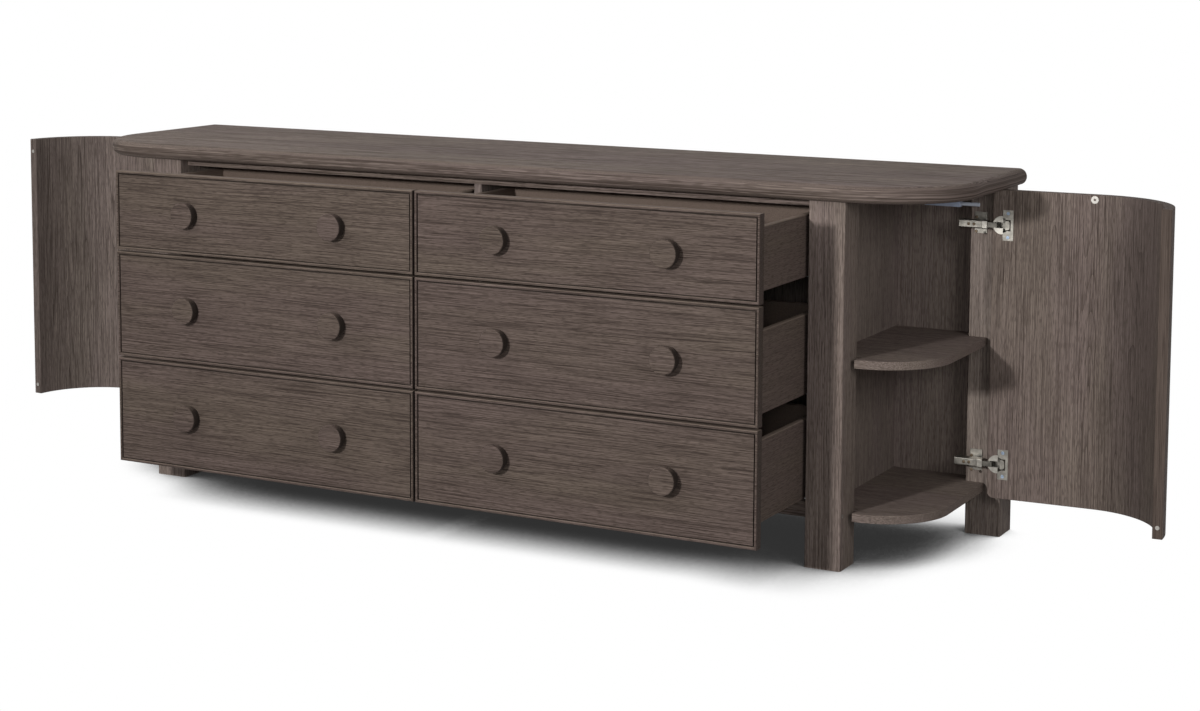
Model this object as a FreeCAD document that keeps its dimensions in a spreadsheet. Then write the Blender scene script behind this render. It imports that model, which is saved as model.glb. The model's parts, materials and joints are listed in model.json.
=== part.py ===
import FreeCAD, Part
import os
import Sketcher
from types import SimpleNamespace

# Long, low dresser in brushed oak: six inset drawers in two columns between square posts, and at
# each end a cabinet whose door is bent round the corner of the carcase.  The drawers are shown
# part open and the doors swung open.
# Millimetres.  +X is the viewer's right, +Y the back, +Z up.  The origin is on the floor under
# the middle of the carcase.

DIMENSIONS = {
    # carcase
    "carcase_depth": 503,       # front faces of the front posts to back faces of the rear posts
    "bank_width": 1616,         # clear width between the front posts
    "post_width": 80,
    "post_depth": 78,
    "post_round": 2.5,
    "base_height": 99,          # clear height under the carcase
    "board": 18,                # dividers, shelves and floors
    "partition_thick": 19,
    "back_thick": 15,
    "back_recess": 12,          # back panel behind the rear posts' back faces
    "rail_recess": 28,          # front rails behind the posts' front faces
    "top_rail_height": 15,
    "top_rail_depth": 60,
    "bottom_rail_height": 34,
    "bottom_rail_depth": 22,
    "foot_size": 60,            # centre foot, square
    "board_arris": 1.2,         # eased edges of the boards that show
    "cut_margin": 1,            # cuts run this far past a face
    # top
    "top_thick": 36,
    "top_overhang": 18,
    "top_rear_overhang": 3,
    "nose_flat": 0.4,           # flat left on the half-round edge
    # drawers
    "front_thick": 21,
    "front_recess": 5,          # closed fronts behind the posts' front faces
    "front_side_gap": 3,
    "front_top_gap": 3,
    "front_drop": 7,            # lowest fronts hang below the carcase
    "front_gap": 5,             # between rows and between columns
    "front_height_top": 181,
    "front_height_deep": 242,
    "bead_width": 6,
    "bead_proud": 2,
    "bead_round": 2.4,
    "quirk_width": 2.5,
    "quirk_depth": 3.5,
    "drawer_pull": 245,         # how far the drawers stand open
    "box_depth": 370,
    "box_side_gap": 8,
    "box_wall": 14,
    "box_round": 3,             # top edges of the sides and back
    "box_height_top": 130,
    "box_height_deep": 168,
    "box_lift": 24,             # box bottom above the front's lower edge
    "box_lift_low": 50,         # the same in the lowest row, over the bottom rail
    "base_thick": 8,            # drawer bottom
    "base_rise": 14,            # drawer bottom above the sides' lower edges
    "base_groove": 6,
    "knob_dia": 60,
    "knob_neck_dia": 54,
    "knob_length": 24,
    "knob_round": 3,
    "knob_spacing": 398,
    # drawer runners
    "runner_length": 350,
    "runner_sheet": 1.6,
    "runner_width": 26,
    "runner_offset": 2,         # drawer channel off the box side
    "runner_foot": 1,           # drawer channel short of the box side's lower edge
    "runner_play_side": 0.8,
    "runner_play_top": 0.3,
    "runner_drop": 2,           # bracket under the box side
    "runner_flange": 30,
    # doors, shelves and floors
    "door_radius": 190,         # outer face at the bend
    "door_flat": 14,            # front post to the start of the bend
    "door_thick": 21,
    "door_top_gap": 2,
    "door_low": 7,              # door below the carcase
    "door_end_gap": 3,          # free end off the front post
    "door_round": 6,            # outer edge at the hinge end
    "door_round_inner": 3,
    "door_corner": 16,          # upper and lower corners at the hinge end
    "door_arris": 1.5,
    "door_angle_right": 92,     # degrees open
    "door_angle_left": 95,      # degrees open
    "shelf_setback": 16,        # behind the closed door's inner face
    "shelf_post_gap": 10,
    "shelf_clear": 305,         # clear height under the shelf
    # concealed hinges
    "hinge_gap": 5.5,           # closed door off the rear post
    "hinge_inset": 76,          # hinge middle from the door's top and bottom
    "pivot_depth": 9,           # pin below the door's inner face
    "pivot_edge": 11,           # pin from the door's hinge end
    "pin_radius": 2,
    "pin_play": 0.08,
    "pin_fit": 0.02,
    "cup_edge": 21,             # cup middle from the door's hinge end
    "cup_radius": 17.5,
    "cup_wall": 1.2,
    "cup_depth": 14,
    "cup_floor": 1,
    "cup_fit": 0.15,
    "rim_radius": 20,
    "flange_thick": 1.2,
    "flange_width": 23,
    "flange_height": 66,
    "flange_offset": 2,         # flange strip from the cup's middle
    "cover_height": 20,
    "cover_end": 8,             # cover's far end from the flange strip's far edge
    "cover_round": 5,
    "cover_proud": 1,
    "cover_play": 0.7,          # cover off the neck when the door is shut
    "neck_reach": 13.9,         # neck in front of the pin
    "neck_thick": 3,
    "neck_half": 2,
    "neck_height": 11,
    "neck_length": 42,
    "neck_bend": 1,
    "eye_radius": 3.5,
    "arm_height": 16,
    "arm_sheet": 1.5,
    "arm_depth": 21,
    "arm_length": 63,
    "arm_end": 20,              # arm's end from the pin
    "plate_width": 27,
    "plate_height": 46,
    "plate_thick": 2.5,
    "plate_centre": 44,         # plate's middle from the pin
    "block_length": 23,
    "block_play": 0.3,
    "screw_radius": 3.4,
    "screw_head": 1.6,
    "screw_rise": 15.5,         # plate screws above and below the arm's middle
    "screw_pitch": 12,          # between the two screws of an arm
    # push latch and magnetic catches
    "strike_to_bend": 9,        # strike's middle before the start of the bend
    "strike_drop": 10,          # below the door's top edge
    "strike_radius": 8,
    "strike_hole": 2.5,
    "strike_thick": 1.5,
    "plunger_radius": 4,
    "plunger_length": 62,
    "plunger_reach": 36,        # stands out past the closed strike
    "plunger_play": 0.4,
    "latch_length": 76,
    "latch_width": 18,
    "latch_gap": 4,             # housing short of the closed strike
    "latch_plate_length": 92,
    "latch_plate_width": 26,
    "latch_plate_thick": 3,
    "latch_low": 6,             # housing below the plunger's axis
    "magnet_radius": 4.5,
    "magnet_thick": 1.5,
    "magnet_inset_top": 32,     # from the door's top, on the left door only
    "magnet_inset_low": 24,     # from the door's bottom
    "catch_thick": 1,
}


class Size:
    """A length with its value and the sheet expression that it comes from."""

    def __init__(self, text, value):
        self.text = text
        self.value = value

    def join(self, sign, other, value):
        return Size(f"({self.text} {sign} {sized(other).text})", value)

    def __add__(self, other):
        return self.join("+", other, self.value + sized(other).value)

    def __sub__(self, other):
        return self.join("-", other, self.value - sized(other).value)

    def __mul__(self, other):
        return self.join("*", other, self.value * sized(other).value)

    def __truediv__(self, other):
        return self.join("/", other, self.value / sized(other).value)

    def __neg__(self):
        return Size(f"(0 - {self.text})", -self.value)

    __radd__ = __add__
    __rmul__ = __mul__

    def __rsub__(self, other):
        return sized(other) - self


def sized(amount):
    return amount if isinstance(amount, Size) else Size(repr(amount), amount)


def root(amount):
    return Size(f"sqrt({amount.text})", amount.value ** 0.5)


doc = FreeCAD.newDocument("dresser")
sheet = doc.addObject("Spreadsheet::Sheet", "dims")
for row, (alias, number) in enumerate(DIMENSIONS.items(), start=1):
    sheet.set(f"A{row}", alias)
    sheet.set(f"B{row}", str(number))
    sheet.setAlias(f"B{row}", alias)
doc.recompute()
d = SimpleNamespace(**{name: Size(f"dims.{name}", number) for name, number in DIMENSIONS.items()})

nodes = {}
NEAR = 1e-6


def keep(label, thing):
    """Name a finished sub-part."""
    thing.Label = label
    nodes[label] = thing
    return thing


def bind(thing, **sizes):
    for name, amount in sizes.items():
        thing.setExpression(name.replace("__", "."), sized(amount).text)


def place(thing, x=0, y=0, z=0, axis=None, angle=0):
    """Set a placement whose numbers stay tied to the sheet."""
    if axis is not None:
        turn = FreeCAD.Rotation(FreeCAD.Vector(*axis), sized(angle).value)
        thing.Placement = FreeCAD.Placement(FreeCAD.Vector(), turn)
        bind(thing, Placement__Rotation__Angle=angle)
    bind(thing, Placement__Base__x=x, Placement__Base__y=y, Placement__Base__z=z)
    return thing


def span(side, low, high):
    """An interval of X on the right (side 1), or its mirror image on the left (side -1)."""
    return (low, high) if side > 0 else (-sized(high), -sized(low))


def board(name, x, y, z):
    """A plain board between three pairs of limits."""
    thing = doc.addObject("Part::Box", name)
    limits = [[sized(value) for value in pair] for pair in (x, y, z)]
    length, width, height = [high - low for low, high in limits]
    bind(thing, Length=length, Width=width, Height=height)
    return place(thing, *[low for low, high in limits])


def eased_board(name, x, y, z):
    """A board with its front edges eased."""
    body = new_body(name)
    rectangle(new_sketch(body, "XY_Plane"), x, y)
    slab = pad(body, body.Group[-1], z[1] - z[0])
    front_y = y[0].value
    round_over(body, slab, d.board_arris,
               lambda edge: level(edge, "Z") and abs(edge.BoundBox.YMax - front_y) < NEAR)
    return place(body, z=z[0])


def rod(name, radius, length, x, y, z, axis=None, angle=0):
    """A round bar that starts at a point and runs along Z, or along Z turned about axis."""
    thing = doc.addObject("Part::Cylinder", name)
    bind(thing, Radius=radius, Height=length)
    return place(thing, x, y, z, axis, angle)


def cut(name, base, tool):
    thing = doc.addObject("Part::Cut", name)
    thing.Base = base
    thing.Tool = tool
    return thing


def group(name, things):
    """Separate solids that make one node."""
    thing = doc.addObject("Part::Compound", name)
    thing.Links = things
    return thing


def new_body(name):
    return doc.addObject("PartDesign::Body", name)


def new_sketch(body, role, offset=0):
    """A sketch on one of the body's origin planes, moved along the plane's normal."""
    sketch = body.newObject("Sketcher::SketchObject", f"{body.Name}_sketch")
    plane = [feature for feature in body.Origin.OriginFeatures if feature.Role == role][0]
    sketch.AttachmentSupport = (plane, [""])
    sketch.MapMode = "FlatFace"
    bind(sketch, AttachmentOffset__Base__z=offset)
    return sketch


def pin_point(sketch, geometry, which, x, y):
    """Tie a point of the sketch to its two coordinates."""
    for kind, amount in (("DistanceX", x), ("DistanceY", y)):
        amount = sized(amount)
        index = sketch.addConstraint(
            Sketcher.Constraint(kind, -1, 1, geometry, which, amount.value))
        sketch.setExpression(f"Constraints[{index}]", amount.text)


def outline(sketch, steps):
    """Draw a closed outline.  A step is (x, y), reached by a line, or (x, y, cx, cy), by an arc."""
    points = [FreeCAD.Vector(sized(step[0]).value, sized(step[1]).value, 0) for step in steps]
    first = sketch.GeometryCount
    ends = []
    for index, step in enumerate(steps):
        start, end = points[index - 1], points[index]
        if len(step) == 2:
            sketch.addGeometry(Part.LineSegment(start, end), False)
            ends.append((1, 2))
            continue
        centre = FreeCAD.Vector(sized(step[2]).value, sized(step[3]).value, 0)
        leftward = (start - centre).cross(end - centre).z > 0
        from_point, to_point = (start, end) if leftward else (end, start)
        circle = Part.Circle(centre, FreeCAD.Vector(0, 0, 1), (start - centre).Length)
        arc = Part.ArcOfCircle(circle, circle.parameter(from_point), circle.parameter(to_point))
        sketch.addGeometry(arc, False)
        ends.append((1, 2) if leftward else (2, 1))
    for index, step in enumerate(steps):
        this, before = first + index, first + (index - 1) % len(steps)
        sketch.addConstraint(Sketcher.Constraint(
            "Coincident", before, ends[index - 1][1], this, ends[index][0]))
    for index, step in enumerate(steps):
        pin_point(sketch, first + index, ends[index][1], step[0], step[1])
        if len(step) == 4:
            chord = points[index] - points[index - 1]
            wide = abs(chord.x) > abs(chord.y)
            kind = "DistanceY" if wide else "DistanceX"
            amount = sized(step[3] if wide else step[2])
            at = sketch.addConstraint(Sketcher.Constraint(kind, -1, 1, first + index, 3, amount.value))
            sketch.setExpression(f"Constraints[{at}]", amount.text)


def rectangle(sketch, x, y):
    outline(sketch, [(x[0], y[0]), (x[1], y[0]), (x[1], y[1]), (x[0], y[1])])


def ring(sketch, x, y, radius):
    radius = sized(radius)
    middle = FreeCAD.Vector(sized(x).value, sized(y).value, 0)
    index = sketch.addGeometry(Part.Circle(middle, FreeCAD.Vector(0, 0, 1), radius.value), False)
    pin_point(sketch, index, 3, x, y)
    at = sketch.addConstraint(Sketcher.Constraint("Radius", index, radius.value))
    sketch.setExpression(f"Constraints[{at}]", radius.text)


def pad(body, sketch, length, backward=False, middle=False):
    feature = body.newObject("PartDesign::Pad", f"{body.Name}_pad")
    feature.Profile = sketch
    bind(feature, Length=length)
    feature.Reversed = backward
    feature.Midplane = middle
    return feature


def pocket(body, sketch, length, backward=False, middle=False):
    """Cut along the sketch's normal reversed, or along it when backward."""
    doc.recompute()
    before = body.Shape.Volume
    feature = body.newObject("PartDesign::Pocket", f"{body.Name}_pocket")
    feature.Profile = sketch
    bind(feature, Length=length)
    feature.Reversed = backward
    feature.Midplane = middle
    doc.recompute()
    if not body.Shape.Volume < before:
        raise RuntimeError(f"the pocket of {body.Name} cuts nothing")
    return feature


def round_over(body, feature, radius, chosen):
    """Round the edges of the feature for which chosen is true."""
    doc.recompute()
    names = [f"Edge{i}" for i, edge in enumerate(feature.Shape.Edges, start=1) if chosen(edge)]
    fillet = body.newObject("PartDesign::Fillet", f"{body.Name}_round")
    fillet.Base = (feature, names)
    bind(fillet, Radius=radius)
    return fillet


def level(edge, axis):
    """True when an edge lies in a plane across the axis."""
    return getattr(edge.BoundBox, f"{axis}Length") < NEAR


FRONT = -(d.carcase_depth / 2)
BACK = d.carcase_depth / 2
BAY = d.bank_width / 2
END = BAY + d.post_width + d.door_flat + d.door_radius
SIDES = ((1, "right"), (-1, "left"))

row_three_low = d.base_height - d.front_drop
row_two_low = row_three_low + d.front_height_deep + d.front_gap
row_one_low = row_two_low + d.front_height_deep + d.front_gap
post_height = row_one_low + d.front_height_top + d.front_top_gap

post_back = FRONT + d.post_depth
post_outer = BAY + d.post_width
rear_inner = END - d.post_width
rear_front = BACK - d.post_depth
panel_front = BACK - d.back_recess - d.back_thick
rail_front = FRONT + d.rail_recess
carcase_floor = d.base_height + d.bottom_rail_height


# Top: a slab with a square back edge, quarter-round front corners and a half-round nose
# along the front and both ends.
def make_top():
    body = new_body("top")
    half = END + d.top_overhang
    nose = FRONT - d.top_overhang
    back = BACK + d.top_rear_overhang
    radius = d.door_radius + d.top_overhang
    outline(new_sketch(body, "XY_Plane"), [
        (-half, back),
        (-half, nose + radius),
        (radius - half, nose, radius - half, nose + radius),
        (half - radius, nose),
        (half, nose + radius, half - radius, nose + radius),
        (half, back),
    ])
    slab = pad(body, body.Group[-1], d.top_thick)
    round_over(body, slab, (d.top_thick - d.nose_flat) / 2,
               lambda edge: level(edge, "Z") and edge.BoundBox.YMin < back.value - NEAR)
    keep("top", place(body, z=post_height))


# Posts: square legs that run from the floor to the top.
def make_post(label, x, y):
    body = new_body(label)
    rectangle(new_sketch(body, "XY_Plane"), (0, d.post_width), (0, d.post_depth))
    leg = pad(body, body.Group[-1], post_height)
    round_over(body, leg, d.post_round, lambda edge: not level(edge, "Z"))
    keep(label, place(body, x, y))


def make_posts():
    for side, hand in SIDES:
        make_post(f"post_front_{hand}", span(side, BAY, post_outer)[0], FRONT)
        make_post(f"post_rear_{hand}", span(side, rear_inner, END)[0], rear_front)


# Boards of the carcase.
def make_carcase():
    behind_rail = rail_front + d.bottom_rail_depth
    for side, hand in SIDES:
        keep(f"divider_{hand}", board(
            f"divider_{hand}", span(side, BAY, BAY + d.board), (post_back, panel_front),
            (d.base_height, post_height)))
    keep("back_panel", board(
        "back_panel", (-rear_inner, rear_inner), (panel_front, panel_front + d.back_thick),
        (d.base_height, post_height)))
    keep("top_rail", eased_board(
        "top_rail", (-BAY, BAY), (rail_front, rail_front + d.top_rail_depth),
        (post_height - d.top_rail_height, post_height)))
    keep("bottom_rail", eased_board(
        "bottom_rail", (-BAY, BAY), (rail_front, behind_rail), (d.base_height, carcase_floor)))
    keep("drawer_bay_floor", board(
        "drawer_bay_floor", (-BAY, BAY), (behind_rail, panel_front),
        (carcase_floor - d.board, carcase_floor)))
    keep("centre_foot", board(
        "centre_foot", (-(d.foot_size / 2), d.foot_size / 2), (-(d.foot_size / 2), d.foot_size / 2),
        (0, carcase_floor - d.board)))


# Centre partition: it stands on the bottom rail and is notched under the top rail.
def make_partition():
    body = new_body("centre_partition")
    under_rail = post_height - d.top_rail_height
    outline(new_sketch(body, "YZ_Plane"), [
        (rail_front, carcase_floor),
        (panel_front, carcase_floor),
        (panel_front, post_height),
        (rail_front + d.top_rail_depth, post_height),
        (rail_front + d.top_rail_depth, under_rail),
        (rail_front, under_rail),
    ])
    upright = pad(body, body.Group[-1], d.partition_thick, middle=True)
    round_over(body, upright, d.board_arris,
               lambda edge: level(edge, "X") and abs(edge.BoundBox.YMax - rail_front.value) < NEAR)
    keep("centre_partition", place(body))


# Shelf or floor of an end cabinet: its free edge follows the bend of the door, and it is
# notched round both posts.
def make_cabinet_board(label, side, underside):
    body = new_body(label)
    back_off = d.door_thick + d.shelf_setback
    radius = d.door_radius - back_off
    edge_x, edge_y = END - back_off, FRONT + back_off
    bend_x, bend_y = END - d.door_radius, FRONT + d.door_radius
    inner = BAY + d.board
    beside_post = post_outer + d.shelf_post_gap
    steps = [
        (inner, panel_front),
        (inner, post_back),
        (beside_post, post_back),
        (beside_post, edge_y),
        (bend_x, edge_y),
        (edge_x, bend_y, bend_x, bend_y),
        (edge_x, rear_front),
        (rear_inner, rear_front),
        (rear_inner, panel_front),
    ]
    outline(new_sketch(body, "XY_Plane"), [mirrored(side, step) for step in steps])
    slab = pad(body, body.Group[-1], d.board)

    def on_free_edge(edge):
        along_front = abs(edge.BoundBox.YMax - edge_y.value) < NEAR
        along_end = abs(abs(edge.CenterOfMass.x) - edge_x.value) < NEAR
        return level(edge, "Z") and (along_front or along_end or isinstance(edge.Curve, Part.Circle))

    round_over(body, slab, d.board_arris, on_free_edge)
    keep(label, place(body, z=underside))


def mirrored(side, step):
    """The step of an outline, or its mirror image across X on the left."""
    return tuple(side * value if index % 2 == 0 else value for index, value in enumerate(step))


def make_cabinets():
    for side, hand in SIDES:
        make_cabinet_board(f"cabinet_floor_{hand}", side, d.base_height)
        make_cabinet_board(f"shelf_{hand}", side, d.base_height + d.board + d.shelf_clear)


# Drawers.  A front has a raised bead round its edge with a sunk quirk inside it.
front_face = FRONT + d.front_recess - d.drawer_pull
front_back = front_face + d.front_thick
ROWS = (
    ("top", row_one_low, d.front_height_top, d.box_lift, d.box_height_top),
    ("middle", row_two_low, d.front_height_deep, d.box_lift, d.box_height_deep),
    ("bottom", row_three_low, d.front_height_deep, d.box_lift_low, d.box_height_deep),
)
front_low_x = d.front_gap / 2
front_high_x = BAY - d.front_side_gap
box_low_x = d.partition_thick / 2 + d.box_side_gap
box_high_x = BAY - d.box_side_gap


def make_front(label, side, low, height):
    body = new_body(label)
    half_x, half_z = (front_high_x - front_low_x) / 2, height / 2

    def frame(inset):
        return (inset - half_x, half_x - inset), (inset - half_z, half_z - inset)

    quirk = d.bead_width + d.quirk_width
    rectangle(new_sketch(body, "XZ_Plane"), *frame(sized(0)))
    pad(body, body.Group[-1], d.front_thick, backward=True)
    rectangle(new_sketch(body, "XZ_Plane"), *frame(d.bead_width))
    pocket(body, body.Group[-1], d.bead_proud)
    groove = new_sketch(body, "XZ_Plane")
    rectangle(groove, *frame(d.bead_width))
    rectangle(groove, *frame(quirk))
    pocket(body, groove, d.bead_proud + d.quirk_depth)
    round_over(body, body.Tip, d.bead_round,
               lambda edge: level(edge, "Y") and abs(edge.BoundBox.YMin) < NEAR)
    middle = (front_low_x + front_high_x) / 2
    keep(label, place(body, side * middle, front_face, low + half_z))


# Knobs: turned discs with a rounded face edge and a slightly narrower neck.
def make_knobs(label, side, low, height):
    body = new_body(label)
    face = new_sketch(body, "XY_Plane")
    centre = d.knob_spacing / 2
    rim, neck = d.knob_dia / 2, d.knob_neck_dia / 2
    outline(face, [
        (centre, 0),
        (centre, -d.knob_length),
        (centre + rim - d.knob_round, -d.knob_length),
        (centre + rim, d.knob_round - d.knob_length,
         centre + rim - d.knob_round, d.knob_round - d.knob_length),
        (centre + rim, -(d.knob_length / 2)),
        (centre + neck, 0),
    ])
    turned = body.newObject("PartDesign::Revolution", f"{body.Name}_turned")
    turned.Profile = face
    turned.ReferenceAxis = (face, ["Edge2"])
    twin = body.newObject("PartDesign::Mirrored", f"{body.Name}_twin")
    twin.Originals = [turned]
    twin.MirrorPlane = ([f for f in body.Origin.OriginFeatures if f.Role == "YZ_Plane"][0], [""])
    body.Tip = twin
    middle = (front_low_x + front_high_x) / 2
    keep(label, place(body, side * middle, front_face + d.bead_proud, low + height / 2))


# Drawer box: two grooved sides with rounded top edges, a bottom let into the grooves, and a back
# that stands on the bottom.
def make_box(label, side, low, height):
    ends = front_back + d.box_depth
    base = (low + d.base_rise, low + d.base_rise + d.base_thick)
    high, soft = low + height, d.box_round
    pieces = []
    for inward, outside in ((1, box_low_x), (-1, box_high_x)):
        inside = outside + inward * d.box_wall
        groove = inside - inward * d.base_groove
        steps = [
            (outside, low),
            (inside, low),
            (inside, base[0]),
            (groove, base[0]),
            (groove, base[1]),
            (inside, base[1]),
            (inside, high - soft),
            (inside - inward * soft, high, inside - inward * soft, high - soft),
            (outside + inward * soft, high),
            (outside, high - soft, outside + inward * soft, high - soft),
        ]
        wall = new_body(f"{label}_side")
        outline(new_sketch(wall, "XZ_Plane"), [mirrored(side, step) for step in steps])
        pad(wall, wall.Group[-1], d.box_depth, backward=True)
        pieces.append(place(wall, y=front_back))

    inside = (box_low_x + d.box_wall, box_high_x - d.box_wall)
    pieces.append(board(f"{label}_base", span(side, inside[0] - d.base_groove, inside[1] + d.base_groove),
                        (front_back, ends), base))
    back = new_body(f"{label}_back")
    outline(new_sketch(back, "YZ_Plane"), [
        (ends - d.box_wall, base[1]),
        (ends, base[1]),
        (ends, high - soft),
        (ends - soft, high, ends - soft, high - soft),
        (ends - d.box_wall + soft, high),
        (ends - d.box_wall, high - soft, ends - d.box_wall + soft, high - soft),
    ])
    pad(back, back.Group[-1], inside[1] - inside[0])
    pieces.append(place(back, x=span(side, *inside)[0]))
    keep(label, group(label, pieces))


# Runners under the box: a folded bracket on the carcase and an inverted channel on the drawer.
def runner_profiles(side, low):
    """Outlines in X and Z of the drawer channels and carcase brackets at one drawer."""
    sheet_thick, top = d.runner_sheet, low + d.base_rise
    channel_foot = low + d.runner_foot
    bracket_top = top - sheet_thick - d.runner_play_top
    web_top = low - d.runner_drop
    web_low = web_top - sheet_thick
    channels, brackets = [], []
    for inward, wall in ((1, box_low_x), (-1, box_high_x)):
        bay_wall = wall - inward * d.box_side_gap
        near = wall + inward * (d.box_wall + d.runner_offset)
        far = near + inward * d.runner_width
        step = inward * sheet_thick
        play = inward * (sheet_thick + d.runner_play_side)
        channels.append([
            (near, channel_foot), (near + step, channel_foot), (near + step, top - sheet_thick),
            (far - step, top - sheet_thick), (far - step, channel_foot), (far, channel_foot),
            (far, top), (near, top),
        ])
        rail_near, rail_far = near + play, far - play
        brackets.append([
            (bay_wall, web_low), (rail_near + step, web_low),
            (rail_near + step, bracket_top - sheet_thick), (rail_far - step, bracket_top - sheet_thick),
            (rail_far - step, web_low), (rail_far, web_low), (rail_far, bracket_top),
            (rail_near, bracket_top), (rail_near, web_top), (bay_wall + step, web_top),
            (bay_wall + step, low + d.runner_flange), (bay_wall, low + d.runner_flange),
        ])
    return [[[mirrored(side, step) for step in loop] for loop in loops] for loops in (channels, brackets)]


def make_extrusion(name, loops, start):
    body = new_body(name)
    sketch = new_sketch(body, "XZ_Plane")
    for loop in loops:
        outline(sketch, loop)
    pad(body, sketch, d.runner_length, backward=True)
    return place(body, y=start)


def make_drawers():
    brackets = []
    for side, hand in SIDES:
        for row, low, height, lift, box_height in ROWS:
            name = f"{row}_{hand}"
            make_front(f"drawer_front_{name}", side, low, height)
            make_knobs(f"drawer_knobs_{name}", side, low, height)
            make_box(f"drawer_box_{name}", side, low + lift, box_height)
            channel_loops, bracket_loops = runner_profiles(side, low + lift)
            keep(f"drawer_runners_{name}",
                 make_extrusion(f"drawer_runners_{name}", channel_loops, front_back))
            brackets.append(make_extrusion(f"bracket_{name}", bracket_loops, rail_front))
    keep("carcase_runners", group("carcase_runners", brackets))


# Doors, drawn closed about the hinge pins and then swung open.  On the right the closed door runs
# from the rear post along the end, round the bend and across the front to the front post.
pin_x = END - d.door_thick + d.pivot_depth
pin_y = rear_front - d.hinge_gap - d.pivot_edge
door_low = d.base_height - d.door_low
door_high = post_height - d.door_top_gap
hinge_levels = (door_low + d.hinge_inset, door_high - d.hinge_inset)
inner_face = -d.pivot_depth                          # from the pin, on the right
cup_y = d.pivot_edge - d.cup_edge
swing = {1: d.door_angle_right, -1: d.door_angle_left}


def hang(thing, side):
    """Swing a piece of a door open about its pins."""
    return place(thing, side * pin_x, pin_y, 0, axis=(0, 0, side), angle=swing[side])


def make_door(label, side):
    body = new_body(label)
    outer = inner_face + d.door_thick
    bend_x, bend_y = outer - d.door_radius, FRONT - pin_y + d.door_radius
    hinge_end = d.pivot_edge
    free_end = post_outer + d.door_end_gap - pin_x
    front, front_inner = bend_y - d.door_radius, bend_y - d.door_radius + d.door_thick
    soft, soft_inner = d.door_round, d.door_round_inner
    steps = [
        (inner_face + soft_inner, hinge_end),
        (inner_face, hinge_end - soft_inner, inner_face + soft_inner, hinge_end - soft_inner),
        (inner_face, bend_y),
        (bend_x, front_inner, bend_x, bend_y),
        (free_end, front_inner),
        (free_end, front),
        (bend_x, front),
        (outer, bend_y, bend_x, bend_y),
        (outer, hinge_end - soft),
        (outer - soft, hinge_end, outer - soft, hinge_end - soft),
    ]
    plan = new_sketch(body, "XY_Plane", door_low)
    outline(plan, [mirrored(side, step) for step in steps])
    panel = pad(body, plan, door_high - door_low)
    round_over(body, panel, d.door_arris, lambda edge: level(edge, "Z"))

    corners = new_sketch(body, "YZ_Plane")
    reach = hinge_end - d.door_corner
    for edge_z, turn in ((door_low, 1), (door_high, -1)):
        centre_z = edge_z + turn * d.door_corner
        outline(corners, [
            (hinge_end + d.cut_margin, edge_z - turn * d.cut_margin),
            (hinge_end + d.cut_margin, centre_z),
            (hinge_end, centre_z),
            (reach, edge_z, reach, centre_z),
            (reach, edge_z - turn * d.cut_margin),
        ])
    pocket(body, corners, 4 * d.door_thick, middle=True)

    bores = new_sketch(body, "YZ_Plane", side * inner_face)
    for height in hinge_levels:
        ring(bores, cup_y, height, d.cup_radius + d.cup_fit)
    pocket(body, bores, d.cup_depth + d.cup_fit, backward=side > 0)
    keep(label, hang(body, side))


# Hinge cups: a round pressed cup let into the door, with a rim and a flange strip on its face and
# a cover over the part of the mouth that the neck never reaches.
def make_cups(label, side):
    cups = []
    for number, height in enumerate(hinge_levels, start=1):
        body = new_body(f"{label}_{number}")
        strip_near = cup_y - d.flange_offset
        strip = new_sketch(body, "YZ_Plane", side * inner_face)
        rectangle(strip, (strip_near - d.flange_width, strip_near),
                  (height - d.flange_height / 2, height + d.flange_height / 2))
        pad(body, strip, d.flange_thick, backward=side > 0)
        for radius, length, inward in ((d.rim_radius, d.flange_thick, False),
                                       (d.cup_radius, d.cup_depth, True)):
            shape = new_sketch(body, "YZ_Plane", side * inner_face)
            ring(shape, cup_y, height, radius)
            pad(body, shape, length, backward=(side > 0) != inward)
        mouth = new_sketch(body, "YZ_Plane", side * (inner_face - d.flange_thick))
        ring(mouth, cup_y, height, d.cup_radius - d.cup_wall)
        pocket(body, mouth, d.flange_thick + d.cup_depth - d.cup_floor, backward=side > 0)
        far, half = strip_near - d.flange_width + d.cover_end, d.cover_height / 2
        near, soft = -d.neck_reach - d.neck_thick - d.cover_play, d.cover_round
        cover = new_sketch(body, "YZ_Plane", side * (inner_face - d.flange_thick - d.cover_proud))
        outline(cover, [
            (near, height - half),
            (near, height + half),
            (far + soft, height + half),
            (far, height + half - soft, far + soft, height + half - soft),
            (far, height - half + soft),
            (far + soft, height - half, far + soft, height - half + soft),
        ])
        pad(body, cover, d.cover_proud + d.flange_thick, backward=side < 0)
        pin_hole = new_sketch(body, "XY_Plane", height)
        ring(pin_hole, 0, 0, d.pin_radius + d.pin_fit)
        pocket(body, pin_hole, 4 * d.cup_radius, middle=True)
        cups.append(body)
    keep(label, hang(group(label, cups), side))


# Hinge pins: each is held by both walls of its cup and turns in the eye of the neck.
def make_pins(label, side):
    off_middle = d.cup_edge - d.pivot_edge + d.pin_radius
    length = 2 * root(d.cup_radius * d.cup_radius - off_middle * off_middle)
    pins = [rod(f"{label}_{number}", d.pin_radius, length, 0, 0, height - length / 2)
            for number, height in enumerate(hinge_levels, start=1)]
    keep(label, hang(group(label, pins), side))


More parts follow.
